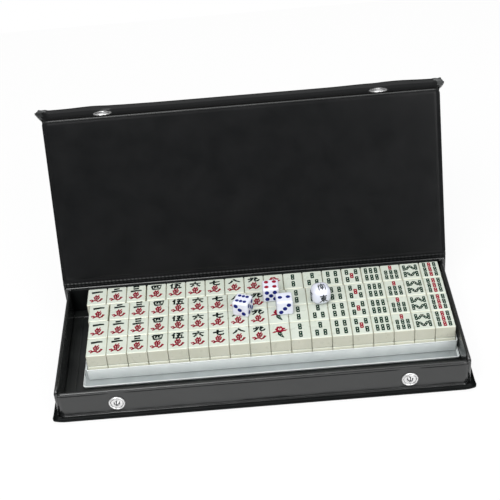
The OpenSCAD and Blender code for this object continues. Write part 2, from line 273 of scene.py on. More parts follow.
finishes = {name: vinylMaterial(name, **look) for name, look in vinyls.items()}
for make, table in ((milkyMaterial, milkySheets), (resinMaterial, resins), (plainInk, inks)):
    finishes.update({name: make(name, *look) for name, look in table.items()})
# the darkened nickel is painted shade for the snap hollows, grooves and slots
finishes.update(greyCard=cardMaterial(), nickel=nickelMaterial("nickel", (0.74, 0.74, 0.74)),
                wellDark=nickelMaterial("wellDark", (0.05, 0.05, 0.055)))
print("finishes ready")


# every piece is drawn in millimetres and scaled when it is finished
def finishPiece(name, bm, body, mats, stands=(), smooth=True, weighted=False, turn=None):
    bmesh.ops.remove_doubles(bm, verts=bm.verts, dist=0.0005)
    if turn is not None:
        bm.transform(turn)
    bmesh.ops.recalc_face_normals(bm, faces=bm.faces)
    bm.transform(Matrix.Scale(mm, 4))
    mesh = bpy.data.meshes.new(name)
    for face in bm.faces:
        face.smooth = smooth
    bm.to_mesh(mesh)
    bm.free()
    for m in mats if isinstance(mats, (list, tuple)) else [mats]:
        mesh.materials.append(finishes[m])
    obj = bpy.data.objects.new(name, mesh)
    bpy.context.scene.collection.objects.link(obj)
    if weighted:
        obj.modifiers.new("evenNormals", "WEIGHTED_NORMAL")
    if isinstance(body, str):
        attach(obj, body)
    else:
        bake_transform(obj)
    if stands:
        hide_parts(*stands)
    return obj


def addBox(bm, low, high):
    made = bmesh.ops.create_cube(bm, size=1)["verts"]
    low, high = Vector(low), Vector(high)
    size = high - low
    bmesh.ops.scale(bm, vec=size, verts=made)
    bmesh.ops.translate(bm, vec=(low + high) / 2, verts=made)
    return made


def cutAcross(bm, axis, places):
    normal = Vector((axis == "x", axis == "y", axis == "z"))
    for place in places:
        bmesh.ops.bisect_plane(bm, geom=bm.verts[:] + bm.edges[:] + bm.faces[:],
                               plane_co=normal * place, plane_no=normal, dist=1e-5)


def softenEdges(bm, edges, offset, segments=3):
    bmesh.ops.bevel(bm, geom=edges, offset=offset, offset_type="OFFSET", affect="EDGES",
                    segments=segments, profile=0.5, material=-1, clamp_overlap=True)


def edgesWhere(bm, test):
    return [e for e in bm.edges if test(e.verts[0].co, e.verts[1].co)]


def roundUprights(bm, offset, segments):
    softenEdges(bm, edgesWhere(bm, lambda a, b: abs(a.x - b.x) + abs(a.y - b.y) < 1e-4), offset, segments)


def vertsIn(geom):
    return [g for g in geom if isinstance(g, bmesh.types.BMVert)]


def clamped(value):
    return min(1, max(0, value))


def joinPart(bm, part):
    # carries a part made on its own over into the whole piece
    holder = bpy.data.meshes.new("part")
    part.to_mesh(holder)
    part.free()
    bm.from_mesh(holder)
    bpy.data.meshes.remove(holder)


def paintFaces(verts, index):
    for face in {f for v in verts for f in v.link_faces}:
        face.material_index = index


def spread(low, high, step):
    count = max(1, round((high - low) / step))
    return [low + (high - low) * i / count for i in range(1, count)]


inkDepth = 0.05


def addStroke(bm, at, line, widths, index, over=0):
    # a flat brush line along points, in the x-y plane round a place
    spots = [Vector((at[0] + x, at[1] + y)) for x, y in line]
    if len(spots) == 2:
        spots.insert(1, (spots[0] + spots[1]) / 2)
    made = bmesh.ops.create_grid(bm, x_segments=len(spots) - 1, y_segments=1, size=0.5)["verts"]
    made = sorted(made, key=lambda v: (round(v.co.x, 4), v.co.y))
    for i, spot in enumerate(spots):
        before, after = spots[max(0, i - 1)], spots[min(len(spots) - 1, i + 1)]
        along = (after - before).normalized()
        side = Vector((-along.y, along.x)) * widths[min(i, len(widths) - 1)] / 2
        for vert, sign in ((made[2 * i], -1), (made[2 * i + 1], 1)):
            vert.co = (spot.x + side.x * sign, spot.y + side.y * sign, at[2] + over)
    faces = {f for v in made for f in v.link_faces}
    sunk = vertsIn(bmesh.ops.extrude_face_region(bm, geom=list(faces))["geom"])
    bmesh.ops.translate(bm, vec=(0, 0, -inkDepth), verts=sunk)
    paintFaces(made + sunk, index)
    return made + sunk


def addStrokes(bm, at, lines, widths, index, over=0):
    for line in lines:
        addStroke(bm, at, line, widths, index, over)


def addDisc(bm, at, x, y, radius, index, sides=12, over=0):
    made = bmesh.ops.create_cone(bm, cap_ends=True, segments=sides, radius1=radius, radius2=radius,
                                 depth=inkDepth)["verts"]
    bmesh.ops.translate(bm, vec=(at[0] + x, at[1] + y, at[2] + over - inkDepth / 2), verts=made)
    paintFaces(made, index)
    return made


def addRound(bm, profile):
    # spins a profile of (radius, height) round the z axis
    verts = [bm.verts.new((max(r, 0), 0, h)) for r, h in profile]
    edges = [bm.edges.new((a, b)) for a, b in zip(verts, verts[1:])]
    bmesh.ops.spin(bm, geom=verts + edges, axis=(0, 0, 1), cent=(0, 0, 0),
                   angle=math.tau, steps=48, use_merge=True)


caseSizes = {
    "edgeThin": 1.35, "rimStep": 2.6, "cornerCurl": 3.2, "curlReach": 3.3, "cornerRound": 2.5,
    "wallWave": 0.15, "wallRound": 1.05, "dimple": 0.42, "crease": 0.32, "pressLimit": 0.4,
    "foot": 0.95, "footHeight": 1.6,
}
baseLow, baseHigh = boxMm("base_cover")
liningHigh = boxMm("floor_lining")[1]
frontLow, frontHigh = boxMm("front_wall_cover")
leftLow, leftHigh = boxMm("left_wall_cover")
backLow, backHigh = boxMm("back_wall_cover")
rightLow, rightHigh = boxMm("right_wall_cover")
wallTop = frontHigh.z
floorTop = liningHigh.z
studLow, studHigh = boxMm("snap_studs")
studZ = (studLow.z + studHigh.z) / 2
snapRadius = (studHigh.z - studLow.z) / 2
snapX = studHigh.x - snapRadius


def bumpAt(value, centre, width):
    return math.exp(-((value - centre) / width) ** 2)


def makeBase():
    bm = bmesh.new()
    addBox(bm, baseLow, (baseHigh.x, baseHigh.y, caseSizes["edgeThin"]))
    roundUprights(bm, caseSizes["cornerRound"], 3)
    for axis, edge in (("x", baseHigh.x), ("y", baseHigh.y)):
        marks = [edge - e for e in (0.5, 1.2, 2.0, 2.6, 3.0, 3.6, 5, 8, 12, 17)]
        marks += spread(0, edge - 17, 14)
        cutAcross(bm, axis, [m * s for m in marks for s in (-1, 1)])
    for vert in bm.verts:
        x, y = vert.co.x, vert.co.y
        inset = min(baseHigh.x - abs(x), baseHigh.y - abs(y))
        top = vert.co.z > 0.5
        if top:
            step = clamped((inset - caseSizes["rimStep"]) / 0.7)
            vert.co.z = caseSizes["edgeThin"] + (floorTop - caseSizes["edgeThin"]) * step
            if 1.1 < inset < 2.2:
                vert.co.z -= 0.3
        if inset < caseSizes["curlReach"]:
            outer = 1 - inset / caseSizes["curlReach"]
            corner = math.hypot(max(0, abs(x) - baseHigh.x + 9), max(0, abs(y) - baseHigh.y + 9)) / 12
            ripple = 0.25 * math.sin(x * 0.21 + 2 * math.sin(y * 0.13)) * outer
            lift = caseSizes["cornerCurl"] * corner ** 3 * outer
            vert.co.z += lift + (max(0, ripple) if top else 0)
    return finishPiece("baseSheet", bm, "case", "baseVinyl", ("base_cover", "floor_lining"))


def makeWall(name, low, high, axis, stands, finish, front=False):
    # a skin folded over its card, with the folded edge rounded on top
    bm = bmesh.new()
    addBox(bm, low, high)
    along, across = (0, 1) if axis == "x" else (1, 0)

    def isTop(a, b):
        return min(a.z, b.z) > high.z - 0.01 and abs(a[across] - b[across]) < 1e-4

    softenEdges(bm, edgesWhere(bm, isTop), caseSizes["wallRound"], 4)
    cutAcross(bm, axis, spread(low[along], high[along], 3 if front else 8))
    cutAcross(bm, "z", spread(low.z + 1.6, high.z - 3.2, 2 if front else 5))
    cutAcross(bm, "z", [high.z - d for d in (1.2, 1.6, 2, 2.4, 2.8, 3.2)])
    cutAcross(bm, "z", [low.z + d for d in (0.4, 0.8, 1.2, 1.6)])
    middle = (low[across] + high[across]) / 2
    outward = -1 if middle < 0 else 1
    for vert in bm.verts:
        place = vert.co[along]
        rise = (vert.co.z - low.z) / (high.z - low.z)
        wave = caseSizes["wallWave"] * math.sin(place * 0.045 + 1.3 * middle)
        wave *= math.sin(math.pi * min(1, rise))
        vert.co[across] += max(0, wave * outward) * outward
        if vert.co[across] * outward > middle * outward:
            press = caseSizes["crease"] * bumpAt(high.z - vert.co.z, 2.1, 0.5)
            for side in (-1, 1) if front else ():
                away = math.hypot(place - side * snapX, vert.co.z - studZ)
                press += caseSizes["dimple"] * bumpAt(away, 7.5, 4.2)
            vert.co[across] -= outward * min(caseSizes["pressLimit"], press)
            near = max(0, 1 - (vert.co.z - low.z) / caseSizes["footHeight"])
            vert.co[across] += outward * caseSizes["foot"] * near ** 2
    return finishPiece(name, bm, "case", finish, stands)


def makeCorners():
    bm = bmesh.new()
    radius = frontHigh.y - frontLow.y
    for sx in (-1, 1):
        for sy in (-1, 1):
            part = bmesh.new()
            bmesh.ops.create_cone(part, cap_ends=True, segments=32, radius1=radius, radius2=radius,
                                  depth=wallTop - floorTop)
            softenEdges(part, edgesWhere(part, lambda a, b: a.z > 1 and b.z > 1), 0.9, 3)
            for normal in ((sx, 0, 0), (0, sy, 0)):
                bmesh.ops.bisect_plane(part, geom=part.verts[:] + part.edges[:] + part.faces[:],
                                       plane_co=(0, 0, 0), plane_no=normal, clear_inner=True, dist=1e-5)
                bmesh.ops.holes_fill(part, edges=[e for e in part.edges if e.is_boundary], sides=0)
            for vert in part.verts:
                angle = math.atan2(abs(vert.co.y), abs(vert.co.x))
                if math.hypot(vert.co.x, vert.co.y) > radius - 0.05:
                    # raised weld bead at the corner
                    grow = 1 + 0.05 * bumpAt(angle, math.pi / 4, 0.3)
                    vert.co.x *= grow
                    vert.co.y *= grow
            bmesh.ops.translate(part, verts=part.verts, vec=(
                sx * frontHigh.x, sy * leftHigh.y, (wallTop + floorTop) / 2))
            joinPart(bm, part)
    return finishPiece("cornerSeams", bm, "case", "outerVinyl", ("corner_seams",))


tabSizes = {"width": 8.4, "rib": 0.3, "ribStep": 1.6, "lift": 0.02, "thick": 0.26}
floorSizes = {"gap": 0.2, "sunk": 0.3, "lift": 0.02, "ripple": 0.03}


def makeTabs():
    # heat-sealed tabs of the wall skins with their ribbed weld lines
    bm = bmesh.new()
    innerX, innerY = rightLow.x, backLow.y
    strips = [
        ((-innerX, -innerY), (innerX, -innerY), (0, 1)), ((innerX, innerY), (-innerX, innerY), (0, -1)),
        ((-innerX, innerY - tabSizes["width"]), (-innerX, -innerY + tabSizes["width"]), (1, 0)),
        ((innerX, -innerY + tabSizes["width"]), (innerX, innerY - tabSizes["width"]), (-1, 0)),
    ]
    for start, end, inward in strips:
        start, end, inward = Vector(start), Vector(end), Vector(inward)
        length = (end - start).length
        count = int(length / (tabSizes["ribStep"] / 2))
        made = bmesh.ops.create_grid(bm, x_segments=count, y_segments=9, size=0.5)["verts"]
        for vert in made:
            u, v = vert.co.x + 0.5, vert.co.y + 0.5
            place = start.lerp(end, u) + inward * v * tabSizes["width"]
            ribbed = bumpAt(v, 0.36, 0.13) + bumpAt(v, 0.78, 0.1)
            rib = tabSizes["rib"] * min(1, ribbed) * math.cos(math.pi * round(u * count))
            height = tabSizes["thick"] + rib
            height *= 1 - bumpAt(v, 1, 0.05) * 0.8
            vert.co = (place.x, place.y, floorTop + height)
        faces = list({f for v in made for f in v.link_faces})
        grown = bmesh.ops.extrude_face_region(bm, geom=faces)["geom"]
        for vert in vertsIn(grown):
            vert.co.z = floorTop + tabSizes["lift"]
    return finishPiece("weldTabs", bm, "case", "floorVinyl", ("weld_tabs",))


def makeFloor():
    # thin lining sheet that shows between the tabs and the tray
    bm = bmesh.new()
    halfWide, halfDeep = rightLow.x - floorSizes["gap"], backLow.y - floorSizes["gap"]
    addBox(bm, (-halfWide, -halfDeep, floorTop - floorSizes["sunk"]),
           (halfWide, halfDeep, floorTop + floorSizes["lift"]))
    cutAcross(bm, "x", spread(-rightLow.x, rightLow.x, 10))
    cutAcross(bm, "y", spread(-backLow.y, backLow.y, 10))
    for vert in bm.verts:
        if vert.co.z > floorTop:
            # the ripple only rises, so that the base below never shows through
            wave = math.sin(vert.co.x * 0.11) * math.sin(vert.co.y * 0.17 + 1)
            vert.co.z += floorSizes["ripple"] * (1 + wave)
    return finishPiece("floorSheet", bm, "case", "floorVinyl")


makeBase()
makeWall("frontWallSkin", frontLow, frontHigh, "x", ("front_wall_cover",), "wallVinyl", True)
makeWall("backWallSkin", backLow, backHigh, "x", ("back_wall_cover",), "baseVinyl")
makeWall("leftWallSkin", leftLow, leftHigh, "y", ("left_wall_cover",), "outerVinyl")
makeWall("rightWallSkin", rightLow, rightHigh, "y", ("right_wall_cover",), "outerVinyl")
makeCorners()
makeTabs()
makeFloor()
print("case ready")


def jointPlace(name):
    return Vector(jointAt[name]["pos_m"]) / mm


layAxis, lidAxis, flapAxis = (jointPlace(n) for n in ("lid_lay_back", "lid_close", "flap_fold_over"))
lidLean = -jointAt["lid_close"]["range_deg"][0] - 90
lidLength = (flapAxis - lidAxis).length
lidHalf = boxMm("lid_lining")[1].x
lidSizes = {
    "edge": 1.0, "weld": 3.4, "inner": 0.65, "mid": 0.15, "back": -2.65, "outerEdge": -0.6, "puff": 0.25,
    "cornerRound": 2.2, "foldRoom": 1.9, "stepFrom": 2.4, "stepOver": 1.8, "lipRise": 0.2,
    "lipPlace": (1.1, 2.3), "puffOver": 14, "seamBefore": 0.7, "seamWidth": 0.7, "seamDepth": 0.2,
    "swell": 0.1, "swellOver": 8,
    "marks": (0.5, 1.2, 2.2, 2.9), "weldMarks": (0, 0.6, 1.6, 4, 9), "plainFrom": 13, "plainStep": 12,
}
flapSizes = {
    "droop": 16.0, "length": 25.0, "slopeIn": -0.176, "power": 5.15, "middleCurl": 5.9, "snapCurl": 0.9,
    "flare": 8.0, "rightFlare": 0.85, "snapFrom": 15.6, "rib": 0.32, "endLift": 3.4, "rightLift": 0.5,
    "chord": 0.028, "snapCurlAt": 116, "snapCurlWidth": 28, "wrinkle": 0.15, "wrinkleFrom": 60,
    "flareFrom": 118, "flareOver": 32.5, "endFrom": 148.2, "endOver": 5.5, "ribPitch": 2.8, "cutStep": (3.5, 0.7),
    "endCuts": (1, 2, 4.6, 5.6, 8), "outerPuff": 0.75, "seam": (2.4, 0.7), "dent": (7.4, 2.5),
    "seamDepth": 0.3, "valley": 3.4, "paleEnd": 1.2, "cardInset": 4.2,
}
lidTurn = Matrix.Translation(lidAxis) @ Matrix.Rotation(math.radians(90 - lidLean), 4, "X")
flapTurn = Matrix.Translation(flapAxis) @ Matrix.Rotation(math.radians(-flapSizes["droop"]), 4, "X")


spineSizes = {"bow": 0.35, "slopeRoom": 4, "endRoom": 3, "endDrop": 0.35}


def makeSpine():
    low, high = boxMm("spine_cover")
    bm = bmesh.new()
    addBox(bm, low, high)
    cutAcross(bm, "x", spread(low.x, high.x, 6) + [low.x + 2.2, low.x + 3.2, high.x - 2.2, high.x - 3.2])
    cutAcross(bm, "z", spread(low.z, high.z, 2.5))
    for vert in bm.verts:
        bow = spineSizes["bow"] * math.sin(math.pi * (vert.co.z - low.z) / (high.z - low.z))
        inset = lidHalf - abs(vert.co.x)
        if vert.co.y > (low.y + high.y) / 2:
            vert.co.y += bow * min(1, inset / spineSizes["slopeRoom"])
            if inset < spineSizes["endRoom"]:
                vert.co.y -= spineSizes["endDrop"]
    return finishPiece("spineSkin", bm, "case", "outerVinyl", ("spine_cover",))


hingeSizes = {
    "halfThick": 0.42, "foot": 0.9, "split": 1.5, "weldWidth": 0.35, "lowWeld": 0.6, "highWeld": 0.5,
    "rib": 0.3, "ribPitch": 3, "glossFrom": 0.4, "blendRoom": 0.3, "run": 2.2, "runBlend": 1.4,
    "runHalf": 0.5, "runBack": 0.1,
}


def makeHinge():
    # two pressed weld lines with a soft strip between them
    halfThick, ribPitch = hingeSizes["halfThick"], hingeSizes["ribPitch"]
    split = layAxis.z + hingeSizes["split"]
    for name, bodies, low, high, stands in (
        ("hingeFoldLow", ("case", "hinge"), layAxis.z - hingeSizes["foot"], split, ()),
        ("hingeFoldHigh", ("hinge", "lid"), split, lidAxis.z, ("hinge_strip",)),
    ):
        bm = bmesh.new()
        y = layAxis.y
        addBox(bm, (-lidHalf, y - halfThick, low), (lidHalf, y + halfThick, high))
        cutAcross(bm, "x", spread(-lidHalf, lidHalf, 1.5))
        cutAcross(bm, "z", spread(low, high, 0.4))
        for vert in bm.verts:
            weld = (bumpAt(vert.co.z, layAxis.z + hingeSizes["lowWeld"], hingeSizes["weldWidth"])
                    + bumpAt(vert.co.z, lidAxis.z - hingeSizes["highWeld"], hingeSizes["weldWidth"]))
            rib = 0.5 + 0.5 * math.cos(math.tau * vert.co.x / ribPitch)
            side = 1 if vert.co.y > y else -1
            vert.co.y += side * hingeSizes["rib"] * weld * rib
        room = hingeSizes["blendRoom"]
        start, end = Vector((0, y, low + room)) * mm, Vector((0, y, high - room)) * mm
        if bodies == ("hinge", "lid"):
            # the upper part runs on into the pressed edge of the lid
            up = Vector((0, math.sin(math.radians(lidLean)), math.cos(math.radians(lidLean))))
            moved = bmesh.ops.extrude_face_region(bm, geom=[f for f in bm.faces if f.normal.z > 0.9])["geom"]
            for vert in vertsIn(moved):
                side = 1 if vert.co.y > y else -1
                vert.co = Vector((vert.co.x, lidAxis.y, lidAxis.z)) + up * hingeSizes["run"]
                vert.co.y += side * hingeSizes["runHalf"] * up.z - hingeSizes["runBack"]
                vert.co.z -= side * hingeSizes["runHalf"] * up.y
            end = Vector((0, lidAxis.y, lidAxis.z)) * mm + up * hingeSizes["runBlend"] * mm
        for face in bm.faces:
            across = face.calc_center_median().x
            face.material_index = int(math.cos(math.tau * across / ribPitch) > hingeSizes["glossFrom"])
        finishPiece(name, bm, (*bodies, start, end), ("baseVinyl", "liningVinyl"), stands)


def insetOf(x, y, low, high):
    return min(lidHalf - abs(x), y - low, high - y + lidSizes["foldRoom"])


def makeLid():
    edge, weld, plain = lidSizes["edge"], lidSizes["weld"], lidSizes["plainFrom"]
    low, high = edge, lidLength - edge
    marks = [*lidSizes["marks"], *(weld + m for m in lidSizes["weldMarks"])]

    def sheet(under, over):
        bm = bmesh.new()
        addBox(bm, (-lidHalf, low, under), (lidHalf, high, over))
        roundUprights(bm, lidSizes["cornerRound"], 3)
        cutAcross(bm, "x", [s * (lidHalf - m) for m in marks for s in (-1, 1)])
        cutAcross(bm, "x", spread(-lidHalf + plain, lidHalf - plain, lidSizes["plainStep"]))
        cutAcross(bm, "y", [low + m for m in marks] + [high - m for m in marks])
        cutAcross(bm, "y", spread(low + plain, high - plain, lidSizes["plainStep"]))
        return bm

    bm = sheet(lidSizes["outerEdge"], lidSizes["mid"])
    for vert in bm.verts:
        if vert.co.z < 0:
            inset = insetOf(vert.co.x, vert.co.y, low, high)
            step = clamped((inset - lidSizes["stepFrom"]) / lidSizes["stepOver"])
            step = step * step * (3 - 2 * step)
            vert.co.z += (lidSizes["back"] - lidSizes["outerEdge"]) * step
            if lidSizes["lipPlace"][0] < inset < lidSizes["lipPlace"][1]:
                vert.co.z += lidSizes["lipRise"]
    finishPiece("lidOuterSkin", bm, "lid", "outerVinyl", ("lid_cover",), turn=lidTurn)

    bm = sheet(lidSizes["mid"], lidSizes["inner"])
    for vert in bm.verts:
        if vert.co.z > 0.4:
            inset = insetOf(vert.co.x, vert.co.y, low, high)
            seam = bumpAt(inset, weld - lidSizes["seamBefore"], lidSizes["seamWidth"])
            vert.co.z += lidSizes["puff"] * clamped((inset - weld) / lidSizes["puffOver"])
            vert.co.z -= lidSizes["seamDepth"] * seam
            swell = math.sin(vert.co.x * 0.05 + 1) * math.sin(vert.co.y * 0.06)
            vert.co.z += lidSizes["swell"] * swell * min(1, inset / lidSizes["swellOver"])
    finishPiece("lidInnerSkin", bm, "lid", "liningVinyl", ("lid_lining",), turn=lidTurn)


def flapBend(x, d):
    # how far the soft flap stands over its flat shape: it droops behind the fold and curls at its edge
    share = max(0, d / flapSizes["length"])
    curl = flapSizes["middleCurl"] + flapSizes["snapCurl"] * bumpAt(
        abs(x), flapSizes["snapCurlAt"], flapSizes["snapCurlWidth"])
    outer = clamped((abs(x) - flapSizes["wrinkleFrom"]) / flapSizes["wrinkleFrom"])
    wrinkle = flapSizes["wrinkle"] * math.sin(x * 0.16 + 0.7) * outer * share ** 2
    return flapSizes["slopeIn"] * d + curl * share ** flapSizes["power"] + wrinkle


def bentFlap(bm):
    for vert in bm.verts:
        x, d = vert.co.x, vert.co.y
        out = clamped((abs(x) - flapSizes["flareFrom"]) / flapSizes["flareOver"])
        flare = clamped((d - 1) / 18.5) * flapSizes["flare"] - max(0, d - 19.5) * 0.35
        flareShare, liftShare = (flapSizes["rightFlare"], flapSizes["rightLift"]) if x > 0 else (1, 1)
        vert.co.x += math.copysign(flare * out * out * flareShare, x)
        end = clamped((abs(vert.co.x) - flapSizes["endFrom"]) / flapSizes["endOver"])
        rib = flapSizes["rib"] * min(1, end * 2)
        rib *= math.sin(math.tau * (d + 0.6 * abs(x)) / flapSizes["ribPitch"])
        lift = flapSizes["endLift"] * end * (min(1, d / 16) - 0.75 * max(0, d - 19) / 6)
        vert.co.z += flapBend(x, d) + rib + lift * liftShare
        vert.co.y -= flapSizes["chord"] * d * (d / flapSizes["length"]) ** 2
    return bm


def flapLayer(low, high, margin, start, end):
    bm = bmesh.new()
    addBox(bm, (-lidHalf + margin, start, low), (lidHalf - margin, end, high))
    roundUprights(bm, 0.6, 2)
    cutAcross(bm, "x", spread(-lidHalf, lidHalf, flapSizes["cutStep"][0]))
    cutAcross(bm, "x", [s * (lidHalf - d) for d in flapSizes["endCuts"] for s in (-1, 1)])
    cutAcross(bm, "y", spread(start, end, flapSizes["cutStep"][1]))
    return bm


def makeFlap():
    edge, length = lidSizes["edge"], flapSizes["length"]
    bm = flapLayer(lidSizes["outerEdge"], lidSizes["mid"], 0, edge, length)
    for vert in bm.verts:
        if vert.co.z < 0:
            inset = min(lidHalf - abs(vert.co.x), vert.co.y - edge, length - vert.co.y)
            step = clamped((inset - 2) / 1.6)
            vert.co.z -= flapSizes["outerPuff"] * step
    finishPiece("flapOuterSkin", bentFlap(bm), "flap", "outerVinyl", ("flap_cover",),
                turn=flapTurn)
    bm = flapLayer(lidSizes["mid"], lidSizes["inner"], 0, edge, length)
    for vert in bm.verts:
        if vert.co.z > 0.4:
            inset = min(lidHalf - abs(vert.co.x), length - vert.co.y)
            vert.co.z -= flapSizes["seamDepth"] * bumpAt(inset, *flapSizes["seam"])
            for side in (-1, 1):
                away = math.hypot(vert.co.x - side * snapX, vert.co.y - flapSizes["snapFrom"])
                vert.co.z -= flapSizes["seamDepth"] * bumpAt(away, *flapSizes["dent"])
    for face in bm.faces:
        # painted shade along the fold valley, pale welds at both ends
        spot = face.calc_center_median()
        pale = abs(spot.x) + 0.12 * spot.y > lidHalf - flapSizes["paleEnd"]
        face.material_index = 2 if spot.y < flapSizes["valley"] else int(pale)
    finishPiece("flapInnerSkin", bentFlap(bm), "flap",
                ("liningVinyl", "weldVinyl", "creaseVinyl"), ("flap_lining",), turn=flapTurn)
    bm = flapLayer(-0.5, 0.1, flapSizes["cardInset"], edge + 4, length - 3.2)
    finishPiece("flapCard", bentFlap(bm), "flap", "greyCard", ("flap_stiffener",), turn=flapTurn)


foldSizes = {
    "reach": 1.9, "front": 0.32, "rear": -0.42, "beadRise": 0.22, "bead": (-0.4, 0.16), "creaseDepth": 0.9,
    "crease": (0.15, 0.3), "middle": 0.1, "blendRoom": 1.2,
}


def makeFoldLine():
    # the pressed fold line between lid and flap
    bm = bmesh.new()
    addBox(bm, (-lidHalf + 0.3, -1, -1), (lidHalf - 0.3, 1, 1))
    cutAcross(bm, "x", spread(-lidHalf, lidHalf, 6))
    cutAcross(bm, "y", [i / 10 for i in range(-8, 9)])
    for face in bm.faces:
        # painted shade in the crease beside a glossy bead
        share = face.calc_center_median().y
        face.material_index = 1 if -0.15 < share < 0.6 else 2 if -0.6 < share < -0.15 else 0
    up, back = lidTurn.to_3x3(), flapTurn.to_3x3()
    for vert in bm.verts:
        share, side = vert.co.y, foldSizes["front" if vert.co.z > 0 else "rear"]
        if side > 0:
            side += (foldSizes["beadRise"] * bumpAt(share, *foldSizes["bead"])
                     - foldSizes["creaseDepth"] * bumpAt(share, *foldSizes["crease"]))
        along = share * foldSizes["reach"]
        if share <= 0:
            local = up @ Vector((0, along, side))
        else:
            local = back @ Vector((0, along, side + flapBend(vert.co.x, along)))
        if abs(share) < foldSizes["middle"]:
            local = (up @ Vector((0, 0, side)) + back @ Vector((0, 0, side))) / 2
        vert.co = Vector((vert.co.x, flapAxis.y + local.y, flapAxis.z + local.z))
    start = (flapAxis + up @ Vector((0, -foldSizes["blendRoom"], 0))) * mm
    end = (flapAxis + back @ Vector((0, foldSizes["blendRoom"], 0))) * mm
    finishPiece("flapFoldLine", bm, ("lid", "flap", start, end),
                ("liningVinyl", "creaseVinyl", "outerVinyl"), ("flap_fold",))


makeSpine()
makeHinge()
makeLid()
makeFlap()
makeFoldLine()
print("lid and flap ready")


snapSizes = {
    "stud": [(0, 1.9), (0.7, 1.95), (1.3, 1.95), (1.75, 1.75), (1.9, 1.3), (1.95, 0.75), (2.3, 0.6),
             (2.8, 0.75), (3.3, 0.8), (4.1, 0.9), (4.25, 0.5), (4.55, 0.5), (4.7, 0.95), (5.2, 1.1),
             (5.6, 0.95), (5.85, 0.55), (5.9, 0.1), (5.8, 0)],
    "socket": [(0, -0.2), (3.2, -0.2), (3.45, 0.2), (3.5, 1.3), (3.9, 1.85), (4.5, 1.85), (4.95, 1.35),
               (5.15, 1.0), (5.45, 0.95), (5.8, 1.25), (6.4, 1.3), (6.9, 1.0), (7.1, 0.5), (7.0, 0.1)],
    "cap": [(0, 1.65), (2.5, 1.6), (4.4, 1.35), (5.6, 0.95), (6.2, 0.5), (6.3, 0.1), (6.2, 0)],
    "socketOut": 1.8, "socketDown": 2, "frontSeat": 0.6, "backSeat": -1.35,
}


def snapPart(name, profile, turns, body, stands, dark=(), slots=(0, 0)):
    bm = bmesh.new()
    for turn in turns:
        part = bmesh.new()
        addRound(part, profile)
        bmesh.ops.holes_fill(part, edges=[e for e in part.edges if e.is_boundary], sides=0)
        for face in part.faces:
            spot = face.calc_center_median()
            away, sector = spot.to_2d().length, math.floor(math.atan2(spot.y, spot.x) / math.tau * 10) % 2
            inShadedSlot = slots[0] < away < slots[1] and sector == 0
            # faces in the dark bands and slot sectors take the darkened nickel: painted shade in hollows, grooves
            # and slots
            face.material_index = int(inShadedSlot or any(low < away < high for low, high in dark))
        part.transform(turn)
        joinPart(bm, part)
    return finishPiece(name, bm, body, ("nickel", "wellDark"), stands)


def snapTurns(front):
    turns = []
    for side in (-1, 1):
        x, d = side * (snapX + snapSizes["socketOut"]), flapSizes["snapFrom"] - snapSizes["socketDown"]
        slope = math.atan((flapBend(x, d + 1) - flapBend(x, d - 1)) / 2)
        seat = snapSizes["frontSeat" if front else "backSeat"]
        turn = flapTurn @ Matrix.Translation((x, d, flapBend(x, d) + seat)) @ Matrix.Rotation(slope, 4, "X")
        turns.append(turn if front else turn @ Matrix.Rotation(math.pi, 4, "X"))
    return turns


upright = Matrix.Rotation(math.pi / 2, 4, "X")
studTurns = [Matrix.Translation((s * snapX, studHigh.y, studZ)) @ upright for s in (-1, 1)]
snapPart("snapStuds", snapSizes["stud"], studTurns, "case", ("snap_studs",),
         dark=((0, 0.35), (4.2, 4.5)), slots=(0.9, 2.4))
snapPart("snapSockets", snapSizes["socket"], snapTurns(True), "flap", ("snap_sockets",),
         dark=((0, 3.48), (4.95, 5.5)))
snapPart("snapCaps", snapSizes["cap"], snapTurns(False), "flap", ("snap_caps",))
print("snaps ready")


traySizes = {
    "tile_tray": {"left": 0.5, "front": 1.1, "far": 0.35, "lip": 0.5, "draft": 0.25, "corner": 1.3},
    "lower_tray": {"left": 0.6, "front": 0.6, "far": 0.5, "lip": 0.4, "draft": 0.2, "corner": 1.7},
    "sheet": 0.4, "footRound": 0.9, "lipTurn": (0.12, -0.55), "sidePower": 8, "whiteRim": 0.35,
    "whiteFoot": (0.15, 0.75), "smallFace": 400,
}


